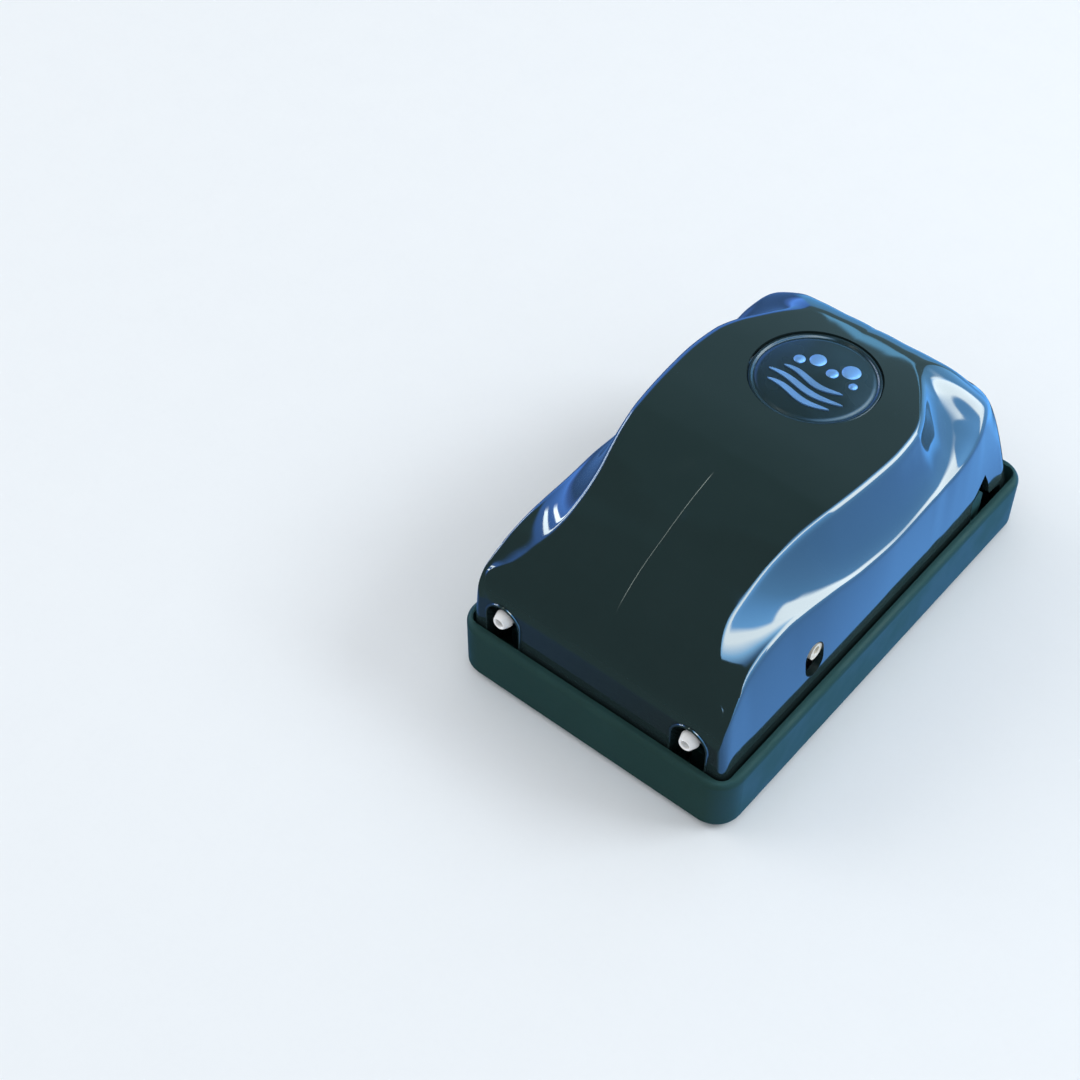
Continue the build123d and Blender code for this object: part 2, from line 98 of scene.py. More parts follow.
# ---------------------------------------------------------------- curve helpers
def curve(*points):
    """A smooth function through (place, value) points that never overshoots them."""
    x = np.array([p[0] for p in points], float)
    v = np.array([p[1] for p in points], float)
    step = np.diff(x)
    rise = np.diff(v) / step
    slope = np.zeros(len(x))
    slope[0], slope[-1] = rise[0], rise[-1]
    for i in range(1, len(x) - 1):
        if rise[i - 1] * rise[i] > 0:
            a, b = 2 * step[i] + step[i - 1], step[i] + 2 * step[i - 1]
            slope[i] = (a + b) / (a / rise[i - 1] + b / rise[i])

    def value(at):
        at = np.clip(np.asarray(at, float), x[0], x[-1])
        i = np.clip(np.searchsorted(x, at) - 1, 0, len(x) - 2)
        t = (at - x[i]) / step[i]
        h00, h10 = (1 + 2 * t) * (1 - t) ** 2, t * (1 - t) ** 2
        h01, h11 = t * t * (3 - 2 * t), t * t * (t - 1)
        return h00 * v[i] + h10 * step[i] * slope[i] + h01 * v[i + 1] + h11 * step[i] * slope[i + 1]

    return value


def mix(a, b, t):
    return a + (b - a) * t


# ---------------------------------------------------------------- the casing's guide curves
# Along the length, from the outlets' end (-Y) to the badge's centre.
spine_z = curve((-71.7, 30.4), (-71.0, 34.0), (-69.0, 38.0), (-65.0, 42.6), (-60.0, 47.4), (-55.0, 51.2),
                (-50.0, 54.0), (-43.0, 57.2), (-37.0, 59.9), (-30.0, 62.5), (-23.0, 64.4), (-15.0, 65.3), (0.0, 65.6),
                (22.5, 65.6))
edge_x = curve((-71.7, 35.6), (-71.0, 37.8), (-69.0, 38.6), (-65.0, 33.4), (-60.0, 29.8), (-54.0, 27.3),
               (-50.0, 26.7), (-43.0, 26.9), (-37.0, 27.4), (-31.0, 28.5), (-24.0, 29.9), (-15.0, 31.6), (0.0, 33.3),
               (11.0, 33.9), (18.0, 33.5), (22.5, 32.9))
edge_z = curve((-71.7, 29.6), (-71.0, 33.0), (-69.0, 36.8), (-65.0, 41.0), (-60.0, 45.6), (-54.0, 49.9),
               (-50.0, 52.0), (-43.0, 55.0), (-37.0, 58.0), (-31.0, 61.0), (-24.0, 63.5), (-16.0, 64.7), (0.0, 64.9),
               (22.5, 64.9))
crease_x = curve((-71.7, 39.5), (-71.0, 40.3), (-69.0, 40.3), (-65.0, 39.7), (-58.0, 38.4), (-50.0, 38.0),
                 (-42.0, 37.9), (-34.0, 38.4), (-24.0, 39.4), (-10.0, 40.5), (5.0, 41.2), (22.5, 41.2))
crease_z = curve((-71.7, 28.4), (-71.0, 32.2), (-69.0, 36.2), (-65.0, 40.4), (-58.0, 45.6), (-50.0, 47.6),
                 (-42.0, 48.0), (-34.0, 47.4), (-24.0, 46.4), (-10.0, 44.2), (5.0, 43.6), (22.5, 44.8))
# Round the rear, by angle about the badge's centre: 0 points to the side, 90 to the rear.
rear_edge_r = curve((0, 32.9), (10, 31.4), (24, 29.6), (37, 28.9), (48, 28.4), (59, 27.4), (68, 26.0), (90, 24.2))
rear_crease_r = curve((0, 41.2), (8, 41.5), (18, 43.2), (27, 45.6), (33, 47.2), (42, 48.6), (50, 45.9), (60, 40.5),
                      (75, 35.8), (90, 34.5))
rear_crease_z = curve((0, 44.8), (8, 45.0), (18, 46.0), (27, 48.2), (33, 50.6), (42, 53.6), (50, 54.8), (60, 55.2),
                      (90, 55.4))
rear_hollow = curve((0, 1.0), (20, 1.0), (34, 0.8), (44, 0.3), (54, 0.0), (90, 0.0))
rear_swell = curve((0, 0.80), (30, 0.72), (50, 0.62), (90, 0.66))
SHOULDER = 16.0                               # the skirt is upright below this
GABLE = 1.35                                  # how sharply the hood peaks along its spine
CROWN_Z, REAR_EDGE_Z = 65.6, 64.9             # heights of spine and hood edge behind the badge's centre
RIDGE_REACH = 7.0                             # the hood's middle ridge spreads this far to each side
ridge_rise = curve((-71.7, 0.0), (-66.0, 0.12), (-60.0, 0.38), (-40.0, 0.42), (-26.0, 0.25), (-12.0, 0.0), (22.5, 0.0))

HOOD_COLUMNS, BAND_COLUMNS, WALL_COLUMNS, SKIRT_COLUMNS = 44, 20, 30, 5


def half_width(y):
    """Half width of the skirt, drawn in round its plan corners."""
    corner = FRONT_CORNER if y < 0 else REAR_CORNER
    past = np.clip(abs(y) - (HALF_Y - corner), 0, corner)
    return HALF_X - corner + math.sqrt(corner ** 2 - past ** 2)


def band_fall(g, hollow):
    """How far the band has fallen, 0 to 1, at g of the way from hood edge to lower crease."""
    scooped = 1 - (1 - g) ** 1.7
    rolled = 0.14 * g + 0.86 * g ** 2.5
    return mix(rolled, scooped, hollow)


def half_section(inner, outer, base, heights, hollow, swell, gable, ridge=0.0):
    """(reach, height) points from the middle out to the foot of the skirt.

    inner, outer and base are the reach of hood edge, lower crease and skirt; heights are those of
    the crown, the hood edge and the lower crease.
    """
    crown, high, low = heights
    f = np.linspace(0, 1, HOOD_COLUMNS, endpoint=False) ** 1.25
    peak = ridge * np.clip(1 - inner * f / RIDGE_REACH, 0, 1) ** 2
    hood = np.stack([inner * f, high + (crown - high) * (1 - f ** gable) + peak], 1)
    g = np.linspace(0, 1, BAND_COLUMNS, endpoint=False)
    band = np.stack([mix(inner, outer, g), high - (high - low) * band_fall(g, hollow)], 1)
    t = np.linspace(0, 1, WALL_COLUMNS, endpoint=False)
    wall = np.stack([mix(outer, base, t ** swell), mix(low, SHOULDER, t)], 1)
    s = np.linspace(0, 1, SKIRT_COLUMNS + 1)
    skirt = np.stack([np.full_like(s, base), mix(SHOULDER, SKIRT_LOW - TRAY_FOOT, s)], 1)
    return np.concatenate([hood, band, wall, skirt])


def front_rows():
    """Cross-sections from the outlets' end to the badge's centre, each a full row of points."""
    turn = np.linspace(math.pi / 2, 0, 11)
    corner = HALF_Y - FRONT_CORNER
    ys = np.concatenate([-corner - FRONT_CORNER * np.sin(turn), np.arange(-corner + 0.6, BADGE_Y, 0.75)])
    ys = np.append(ys[ys < BADGE_Y - 0.3], BADGE_Y)
    rows = []
    for y in ys:
        base = float(half_width(y))
        reach_out = min(float(crease_x(y)), base - 0.05)
        reach_in = min(float(edge_x(y)), reach_out - 0.15)
        heights = float(spine_z(y)), float(edge_z(y)), float(crease_z(y))
        half = half_section(reach_in, reach_out, base, heights, 1.0, 0.8, GABLE, float(ridge_rise(y)))
        right = np.stack([half[:, 0], np.full(len(half), y), half[:, 1]], 1)
        left = right[:0:-1] * (-1, 1, 1)
        rows.append(np.concatenate([left, right]))
    return np.array(rows)


def rear_outline():
    """Points along the skirt from the right side, round the rear, to the left side."""
    corner_x, corner_y = HALF_X - REAR_CORNER, HALF_Y - REAR_CORNER
    straight = np.arange(BADGE_Y, corner_y, 0.85)
    turn = np.linspace(0, math.pi / 2, 14)[:-1]
    side = np.stack([np.full_like(straight, HALF_X), straight], 1)
    bend = np.stack([corner_x + REAR_CORNER * np.cos(turn), corner_y + REAR_CORNER * np.sin(turn)], 1)
    across = np.arange(corner_x, 0.2, -0.9)
    rear = np.stack([across, np.full_like(across, HALF_Y)], 1)
    quarter = np.concatenate([side, bend, rear])
    return np.concatenate([quarter, [(0, HALF_Y)], quarter[::-1] * (-1, 1)])


def rear_rows():
    """Half sections fanned about the badge's centre, from the right side round to the left."""
    rows = []
    for x, y in rear_outline():
        angle = math.degrees(math.atan2(y - BADGE_Y, abs(x)))
        base = math.hypot(x, y - BADGE_Y)
        direction = np.array([x, y - BADGE_Y]) / base
        inner, outer = float(rear_edge_r(angle)), float(rear_crease_r(angle))
        behind = math.sin(math.radians(angle))
        heights = CROWN_Z, REAR_EDGE_Z - 0.4 * behind ** 2, float(rear_crease_z(angle))
        shape = float(rear_hollow(angle)), float(rear_swell(angle)), mix(GABLE, 2.0, behind)
        half = half_section(inner, outer, base, heights, *shape)
        rows.append(np.stack([half[:, 0] * direction[0], BADGE_Y + half[:, 0] * direction[1], half[:, 1]], 1))
    return np.array(rows)


def front_cap(row):
    """The upright face under the front slope, filled between the first section's walls."""
    side = WALL_COLUMNS + SKIRT_COLUMNS
    top = row[side:-side]
    left, right = row[:side + 1][::-1], row[-side - 1:]
    rows = [top]
    for a, b in zip(left[1:], right[1:]):
        f = (top[:, 0] - top[0, 0]) / (top[-1, 0] - top[0, 0])
        rows.append(mix(a, b, f[:, None]))
    return np.array(rows)


def add_grid(bm, rows, flip=False):
    """Adds a grid of quads; points that fall together are welded later."""
    verts = [[bm.verts.new(p) for p in row] for row in rows]
    for low, high in zip(verts, verts[1:]):
        for i in range(len(low) - 1):
            corners = [low[i], low[i + 1], high[i + 1], high[i]]
            bm.faces.new(corners[::-1] if flip else corners)


def relax(bm, rounds, share=0.5):
    """Rounds the creases by moving each inner vertex towards its neighbours' mean."""
    bm.verts.index_update()
    co = np.array([v.co for v in bm.verts])
    pairs = np.array([(e.verts[0].index, e.verts[1].index) for e in bm.edges])
    free = np.array([not v.is_boundary for v in bm.verts])
    count = np.bincount(pairs.ravel(), minlength=len(co))
    for _ in range(rounds):
        total = np.zeros_like(co)
        np.add.at(total, pairs[:, 0], co[pairs[:, 1]])
        np.add.at(total, pairs[:, 1], co[pairs[:, 0]])
        moved = mix(co, total / count[:, None], share)
        co = np.where(free[:, None], moved, co)
    for vertex, place in zip(bm.verts, co):
        vertex.co = place


def casing_skin():
    """The casing's outer surface as one bmesh, open underneath, in mm from the frame's origin."""
    bm = bmesh.new()
    front = front_rows()
    add_grid(bm, front, flip=True)
    add_grid(bm, front_cap(front[0]))
    add_grid(bm, rear_rows(), flip=True)
    bmesh.ops.remove_doubles(bm, verts=bm.verts, dist=0.002)
    bmesh.ops.recalc_face_normals(bm, faces=bm.faces)
    relax(bm, RELAX_ROUNDS)
    bmesh.ops.translate(bm, verts=bm.verts, vec=(0, 0, TRAY_FOOT))
    return bm


# ---------------------------------------------------------------- mesh helpers
PLACE = {
    "x": lambda u, v, w: (w, u, v),
    "y": lambda u, v, w: (u, w, v),
    "z": lambda u, v, w: (u, v, w),
}


def to_object(bm, name, sharp=35):
    """Turns a bmesh in mm into an object in metres, smooth except at corners past the sharp angle."""
    bmesh.ops.recalc_face_normals(bm, faces=bm.faces)
    bmesh.ops.scale(bm, vec=(0.001, 0.001, 0.001), verts=bm.verts)
    mesh = bpy.data.meshes.new(name)
    bm.to_mesh(mesh)
    bm.free()
    mesh.shade_smooth()
    mesh.set_sharp_from_angle(angle=math.radians(sharp))
    piece = bpy.data.objects.new(name, mesh)
    bpy.context.scene.collection.objects.link(piece)
    return piece


def joined(pieces, name):
    """Several objects as one, their parts kept apart."""
    bm = bmesh.new()
    for piece in pieces:
        bm.from_mesh(piece.data)
        bpy.data.objects.remove(piece)
    bmesh.ops.scale(bm, vec=(1000, 1000, 1000), verts=bm.verts)
    return to_object(bm, name)


def cut(piece, cutter, operation="DIFFERENCE", sharp=35):
    """Cuts (or joins) a tool object and deletes it."""
    step = piece.modifiers.new("cut", "BOOLEAN")
    step.operation = operation
    step.solver = "EXACT"
    step.object = cutter
    depsgraph = bpy.context.evaluated_depsgraph_get()
    mesh = bpy.data.meshes.new_from_object(piece.evaluated_get(depsgraph))
    piece.modifiers.clear()
    piece.data = mesh
    mesh.set_sharp_from_angle(angle=math.radians(sharp))
    bpy.data.objects.remove(cutter)


def arch_points(centre, width, top, bottom, steps=28):
    """Outline of an arch, from its lower right corner over the top to its lower left corner."""
    radius = width / 2
    spring = top - radius
    points = [(centre + radius, bottom)]
    points += [(centre + radius * math.cos(a), spring + radius * math.sin(a)) for a in np.linspace(0, math.pi, steps)]
    return points + [(centre - radius, bottom)]


def circle_points(x, y, radius, steps=96):
    turn = np.linspace(0, 2 * math.pi, steps, endpoint=False)
    return [(x + radius * math.cos(a), y + radius * math.sin(a)) for a in turn]


def slot_points(x, y, width, height, steps=24):
    """Outline of an upright slot with round ends."""
    radius, reach = width / 2, (height - width) / 2
    turn = np.linspace(0, math.pi, steps)
    upper = [(x + radius * math.cos(a), y + reach + radius * math.sin(a)) for a in turn]
    lower = [(x - radius * math.cos(a), y - reach - radius * math.sin(a)) for a in turn]
    return upper + lower


def rounded_rectangle(half_u, half_v, corner, centre=(0, 0), steps=7):
    """Outline of a rectangle with rounded corners, anticlockwise."""
    points = []
    for quarter, (su, sv) in enumerate(((1, 1), (-1, 1), (-1, -1), (1, -1))):
        for a in np.linspace(quarter, quarter + 1, steps) * math.pi / 2:
            u = centre[0] + su * (half_u - corner) + corner * math.cos(a)
            v = centre[1] + sv * (half_v - corner) + corner * math.sin(a)
            points.append((u, v))
    return points


def skinned(rings, closed=False):
    """A tube through rings of points; its ends are capped unless it closes on itself."""
    bm = bmesh.new()
    rings = [[bm.verts.new(p) for p in ring] for ring in rings]
    following = rings[1:] + rings[:1] if closed else rings[1:]
    for low, high in zip(rings, following):
        for i in range(len(low)):
            j = (i + 1) % len(low)
            bm.faces.new([low[i], low[j], high[j], high[i]])
    if not closed:
        bm.faces.new(rings[0][::-1])
        bm.faces.new(rings[-1])
    return bm


def prism(outline, low, high, axis, name="tool"):
    """A closed prism from a 2-D outline, run along X, Y or Z between low and high."""
    return to_object(skinned([[PLACE[axis](u, v, w) for u, v in outline] for w in (low, high)]), name)


def lathed(profile, axis, centre, name, steps=72, sharp=35):
    """A closed profile of (radius, along) points turned about an axis through centre."""
    rings = []
    for a in np.linspace(0, 2 * math.pi, steps, endpoint=False):
        ring = [(centre[0] + r * math.cos(a), centre[1] + r * math.sin(a), w) for r, w in profile]
        rings.append([PLACE[axis](*p) for p in ring])
    bm = skinned(rings, closed=True)
    bmesh.ops.remove_doubles(bm, verts=bm.verts, dist=0.001)
    return to_object(bm, name, sharp)


def swept(path, section, axis, name, closed=False, sharp=35):
    """Runs a section of (outward, along) offsets round a path in the plane across the axis."""
    path = np.array(path)
    ahead, behind = np.roll(path, -1, 0), np.roll(path, 1, 0)
    if not closed:
        ahead[-1], behind[0] = path[-1], path[0]
    tangent = ahead - behind
    tangent /= np.linalg.norm(tangent, axis=1)[:, None]
    outward = np.stack([tangent[:, 1], -tangent[:, 0]], 1)
    rings = [[PLACE[axis](*(p + a * n), b) for a, b in section] for p, n in zip(path, outward)]
    return to_object(skinned(rings, closed), name, sharp)


def dress(piece, slot, *nodes, rides="root"):
    """Parents a finished piece to its body's empty when it rides on one, gives it its finish and hides the CAD nodes
    it stands for.
    """
    if rides:
        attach(piece, rides)
    if nodes:
        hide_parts(*nodes)
    piece.data.materials.clear()
    piece.data.materials.append(FINISHES[slot])
    return piece


# ---------------------------------------------------------------- node trees
class Graph:
    """Short calls for building one node tree."""

    def __init__(self, tree):
        self.tree = tree

    def set(self, node, **inputs):
        """Links or sets inputs, named in lower case with underscores."""
        for key, value in inputs.items():
            name = key.replace("_", " ").lower()
            socket = next(s for s in node.inputs if s.name.lower() == name and s.enabled)
            self.feed(socket, value)
        return node

    def feed(self, socket, value):
        if isinstance(value, bpy.types.NodeSocket):
            self.tree.links.new(value, socket)
        else:
            socket.default_value = value

    def add(self, kind, settings=None, **inputs):
        node = self.tree.nodes.new(kind)
        for key, value in (settings or {}).items():
            setattr(node, key, value)
        return self.set(node, **inputs)

    def math(self, operation, *values):
        node = self.add("ShaderNodeMath", {"operation": operation})
        for socket, value in zip(node.inputs, values):
            self.feed(socket, value)
        return node.outputs[0]

    def smooth(self, value, low, high, result=(0.0, 1.0)):
        """A smooth step of value from low to high, given as result's two numbers."""
        settings = {"interpolation_type": "SMOOTHSTEP"}
        node = self.add("ShaderNodeMapRange", settings, value=value, from_min=low, from_max=high)
        return self.set(node, to_min=result[0], to_max=result[1]).outputs[0]

    def blend(self, factor, a, b):
        """Mixes two colours."""
        node = self.add("ShaderNodeMix", {"data_type": "RGBA"})
        for index, value in ((0, factor), (6, a), (7, b)):
            self.feed(node.inputs[index], value)
        return node.outputs[2]

    def noise(self, place, scale, detail=3.0, roughness=0.55):
        node = self.add("ShaderNodeTexNoise", None, vector=place, scale=scale, detail=detail, roughness=roughness)
        return node.outputs[0]

    def mapped(self, place, scale):
        return self.add("ShaderNodeMapping", None, vector=place, scale=scale).outputs[0]


def rgba(colour, times=1.0):
    return (*[min(channel * times, 1.0) for channel in colour], 1.0)


def finish(slot, colour, roughness, grain, relief, stretch=(1, 1, 1), mottle=0.15, pattern="noise", **inputs):
    """A procedural material: mottled colour, uneven gloss and a fine relief.

    grain is the size of the relief's features in mm and relief their height in mm.
    """
    material = bpy.data.materials.new(slot)
    material.use_nodes = True
    graph = Graph(material.node_tree)
    bsdf = material.node_tree.nodes["Principled BSDF"]
    place = graph.add("ShaderNodeTexCoord").outputs["Object"]
    stretched = graph.mapped(place, stretch)
    broad = graph.noise(place, 60.0, 2.0)
    fine = graph.noise(stretched, 1000.0 / grain)
    height = fine
    if pattern == "cells":
        cells = graph.add("ShaderNodeTexVoronoi", None, vector=stretched, scale=1000.0 / grain)
        height = graph.math("ADD", cells.outputs["Distance"], graph.math("MULTIPLY", fine, 0.5))
    shade = graph.blend(broad, rgba(colour, 1 - mottle), rgba(colour, 1 + mottle))
    shade = graph.blend(graph.smooth(fine, 0.35, 0.7, (0.0, mottle)), shade, rgba(colour, 0.6))
    uneven = graph.math("ADD", graph.smooth(broad, 0.3, 0.7, (-0.25 * roughness, 0.2 * roughness)), roughness)
    bump = graph.add("ShaderNodeBump", None, height=height, strength=1.0, distance=relief / 1000.0)
    graph.set(bsdf, base_color=shade, roughness=uneven, normal=bump.outputs[0], **inputs)
    return material


FINISHES = {
    "gloss_casing": finish("gloss_casing", (0.0125, 0.022, 0.0225), 0.055, 5.0, 0.0007, mottle=0.06, ior=1.5),
    "badge_plastic": finish("badge_plastic", (0.012, 0.024, 0.028), 0.24, 2.0, 0.0006, mottle=0.08, ior=1.3),
    "emblem_silver": finish("emblem_silver", (0.12, 0.24, 0.42), 0.4, 0.4, 0.004, metallic=0.2, ior=1.3),
    "tray_plastic": finish("tray_plastic", (0.020, 0.050, 0.045), 0.5, 0.45, 0.012, ior=1.12),
    "foot_rubber": finish("foot_rubber", (0.02, 0.02, 0.021), 0.75, 0.6, 0.02, ior=1.12),
    "screw_steel": finish("screw_steel", (0.5, 0.5, 0.51), 0.32, 0.25, 0.004, stretch=(1, 1, 5), metallic=0.9),
    "filter_felt": finish("filter_felt", (0.72, 0.71, 0.66), 0.95, 0.35, 0.09, ior=1.12),
    "core_steel": finish("core_steel", (0.2, 0.21, 0.23), 0.42, 0.3, 0.006, stretch=(1, 1, 12), metallic=0.8),
    "bobbin_nylon": finish("bobbin_nylon", (0.75, 0.72, 0.64), 0.5, 0.5, 0.01, ior=1.12),
    "copper_wire": finish("copper_wire", (0.62, 0.22, 0.08), 0.25, 0.3, 0.004, metallic=0.85),
    "winding_tape": finish("winding_tape", (0.74, 0.55, 0.06), 0.3, 1.2, 0.02, stretch=(1, 4, 1)),
    "terminal_brass": finish("terminal_brass", (0.75, 0.66, 0.45), 0.3, 0.25, 0.003, metallic=0.9),
    "zinc_steel": finish("zinc_steel", (0.55, 0.56, 0.55), 0.38, 1.6, 0.004, metallic=0.85, pattern="cells"),
    "arm_alloy": finish("arm_alloy", (0.62, 0.63, 0.65), 0.36, 0.5, 0.01, metallic=0.9),
    "bush_bronze": finish("bush_bronze", (0.5, 0.3, 0.12), 0.4, 0.3, 0.012, metallic=0.8, pattern="cells"),
    "magnet_ferrite": finish("magnet_ferrite", (0.05, 0.05, 0.055), 0.6, 0.3, 0.02, ior=1.12),
    "diaphragm_rubber": finish("diaphragm_rubber", (0.025, 0.025, 0.026), 0.6, 0.5, 0.01, ior=1.12),
    "ring_plastic": finish("ring_plastic", (0.07, 0.08, 0.09), 0.45, 0.5, 0.01, ior=1.12),
    "head_plastic": finish("head_plastic", (0.76, 0.72, 0.62), 0.4, 0.6, 0.008, ior=1.12),
    "nozzle_plastic": finish("nozzle_plastic", (0.95, 0.92, 0.88), 0.3, 1.0, 0.004, ior=1.12),
    "tube_silicone": finish("tube_silicone", (0.8, 0.84, 0.84), 0.25, 1.0, 0.004, transmission_weight=0.6),
}

for part in frame["record"]["subparts"]:
    node = frame["nodes"][part["node"]]
    node.data.materials.clear()
    node.data.materials.append(FINISHES[part["material_slot"]])


# ---------------------------------------------------------------- casing
def casing_form(bm):
    """The casing's outer form as a closed solid."""
    bmesh.ops.contextual_create(bm, geom=[e for e in bm.edges if e.is_boundary])
    return to_object(bm, "casing_shell", SKIN_SHARP)


def casing_cavity(bm):
    """The hollow inside: the outer form drawn in by the wall, run out through the bottom."""
    crown = CASING_HIGH[2] - SKIRT_LOW
    shrink = [(size - WALL) / size for size in (HALF_X, HALF_Y, crown)]
    for vertex in bm.verts:
        x, y, z = vertex.co
        vertex.co = (x * shrink[0], y * shrink[1], SKIRT_LOW + (z - SKIRT_LOW) * shrink[2])
    run = bmesh.ops.extrude_edge_only(bm, edges=[e for e in bm.edges if e.is_boundary])
    foot = [g for g in run["geom"] if isinstance(g, bmesh.types.BMVert)]
    bmesh.ops.translate(bm, vec=(0, 0, -2.0), verts=foot)
    bmesh.ops.contextual_create(bm, geom=[e for e in bm.edges if e.is_boundary])
    return to_object(bm, "cavity", SKIN_SHARP)


def casing_stock():
    """Linings of the outlet arches, screw bosses and the badge's pad, before they are trimmed."""
    stock = [prism(circle_points(x, y, 4.0, 32), 12.0, 60.0, "z") for x, y in SCREWS_AT]
    for side in (-1, 1):
        width, top = ARCH_WIDTH + 2 * ARCH_LINING, ARCH_TOP + ARCH_LINING
        stock.append(prism(arch_points(side * OUTLET_X, width, top, 12.1), -75.0, NOZZLE_HIGH[1] - 9.7, "y"))
    stock.append(prism(circle_points(0, BADGE_Y, BADGE_RADIUS + 1.8), BADGE_FLOOR - 2.0, 70.0, "z"))
    return joined(stock, "stock")


def bead(path, axis, at, radius=BEAD):
    """A round lip that stands half proud round the edge of an opening."""
    section = [(radius * math.cos(a), at + radius * math.sin(a)) for a in np.linspace(0, 2 * math.pi, 12)[:-1]]
    return swept(path, section, axis, "bead")


def build_casing():
    """The glossy top casing: a hollow form with linings and bosses left standing, then its openings cut."""
    skin = casing_skin()
    shell = casing_form(skin.copy())
    for side in (-1, 1):
        edge = arch_points(side * OUTLET_X, ARCH_WIDTH + BEAD, ARCH_TOP + BEAD / 2, SKIRT_LOW + 1.0)
        cut(shell, bead(edge, "y", -HALF_Y), "UNION", SKIN_SHARP)
    cavity = casing_cavity(skin)
    cut(cavity, casing_stock())
    cut(shell, cavity, sharp=SKIN_SHARP)
    cutters = [prism(circle_points(0, BADGE_Y, BADGE_RADIUS + 0.25), BADGE_FLOOR, 70.0, "z")]
    cutters += [prism(circle_points(x, y, SCREW_BORE, 24), 11.0, 24.0, "z") for x, y in SCREWS_AT]
    window = slot_points(WINDOW_Y, WINDOW_Z, WINDOW_WIDTH, WINDOW_HEIGHT)
    for side in (-1, 1):
        cutters.append(prism(arch_points(side * OUTLET_X, ARCH_WIDTH, ARCH_TOP, 0.0), -80.0, -62.2, "y"))
        cutters.append(prism(window, side * 36.0, side * 46.0, "x"))
        cutters.append(prism(NOTCH, side * 38.5, side * 46.0, "x"))
    below = [(-GLAND_CUT, 0), (GLAND_CUT, 0), (GLAND_CUT, GLAND_Z), (-GLAND_CUT, GLAND_Z)]
    cutters.append(prism(circle_points(0, GLAND_Z, GLAND_CUT, 40), 66.0, 73.0, "y"))
    cutters.append(prism(below, 66.0, 73.0, "y"))
    cut(shell, joined(cutters, "cutters"), sharp=SKIN_SHARP)
    return dress(shell, "gloss_casing", "top_casing")


build_casing()


# ---------------------------------------------------------------- badge and emblem
def build_badge():
    """The round badge: a plate with a raised ring round a slightly sunk face."""
    top, radius = BADGE_HIGH[2], BADGE_RADIUS
    profile = [
        (0.0, BADGE_FLOOR), (radius, BADGE_FLOOR), (radius, top - 0.35), (radius - 0.12, top - 0.1),
        (radius - 0.4, top), (radius - 0.9, top), (radius - 1.15, top - 0.1), (radius - 1.3, top - 0.4),
        (radius - 1.7, top - 0.45), (radius - 2.2, top - 0.2), (radius - 3.0, top), (0.0, top),
    ]
    badge = lathed(profile, "z", (0.0, BADGE_Y), "badge_disc", 144, 60)
    return dress(badge, "badge_plastic", "badge_plate")


def wave_outline(y, length, height, thickness, lean=1.0, steps=28):
    """A ripple stroke that tapers to a point at each end."""
    t = np.linspace(0, 1, steps)
    x = (t - 0.5) * length
    line = y + height * np.sin(t * 2 * math.pi * lean + 0.6)
    half = thickness / 2 * np.sin(t * math.pi) ** 0.6 + 0.04
    return list(zip(x, line + half))[::-1] + list(zip(x, line - half))


def bubble(x, y, radius, floor, height):
    """A low dome on the badge."""
    rise = np.linspace(0, math.pi / 2, 7)
    profile = [(0.0, floor)] + [(radius * math.cos(a), floor + height * math.sin(a)) for a in rise]
    return lathed(profile, "z", (x, y), "bubble", 40, 60)


def build_emblem():
    """A plain emblem of rising bubbles over three ripples, standing a little proud of the badge."""
    floor = BADGE_HIGH[2]
    strokes = []
    for row, length in enumerate((19.0, 24.0, 20.0)):
        outline = wave_outline(BADGE_Y - 1.6 - 3.6 * row, length, 0.9, 1.9)
        strokes.append(prism(outline, floor - 0.05, floor + 0.4, "z"))
    for x, y, radius in ((-7.6, 3.6, 1.7), (-3.4, 6.4, 2.4), (2.6, 4.4, 1.8), (6.4, 8.0, 2.7), (9.8, 3.6, 1.3)):
        strokes.append(bubble(x, BADGE_Y + y, radius, floor - 0.05, 0.55))
    return dress(joined(strokes, "bubble_and_ripple_emblem"), "emblem_silver", "bubble_emblem")


build_badge()
build_emblem()


# ---------------------------------------------------------------- outlets and fittings
def build_nozzle(side):
    """A barbed hose tail each way from an arched flange, bored through."""
    tip, tail = NOZZLE_LOW[1], NOZZLE_HIGH[1]
    bore, shaft, barb = 1.3, 2.15, 2.75
    profile = [(bore, tip + 0.3), (bore + 0.3, tip), (1.75, tip), (2.0, tip + 0.25)]
    for start in (tip + 2.3, tip + 4.6, tip + 6.9):
        profile += [(barb, start), (barb, start + 0.35), (shaft, start + 0.45)]
    profile += [(shaft, -62.4), (shaft + 0.5, -61.5), (shaft + 0.5, -60.5), (shaft, -59.6)]
    for start in (tail - 3.6, tail - 1.8):
        profile += [(shaft, start - 0.45), (barb - 0.2, start - 0.35), (barb - 0.2, start)]
    profile += [(1.75, tail - 0.1), (bore + 0.2, tail), (bore, tail - 0.3)]
    nozzle = lathed(profile, "y", (side * OUTLET_X, OUTLET_Z), "nozzle", 56)
    flange = prism(arch_points(side * OUTLET_X, ARCH_WIDTH + 1.6, ARCH_TOP + 2.0, 12.0), -62.0, -60.0, "y")
    cut(flange, prism(circle_points(side * OUTLET_X, OUTLET_Z, 1.7, 40), -63.0, -59.0, "y"))
    cut(nozzle, flange, "UNION")
    hand = "right" if side > 0 else "left"
    nozzle.name = f"barbed_nozzle_{hand}"
    return dress(nozzle, "nozzle_plastic", f"outlet_nozzle_{hand}")


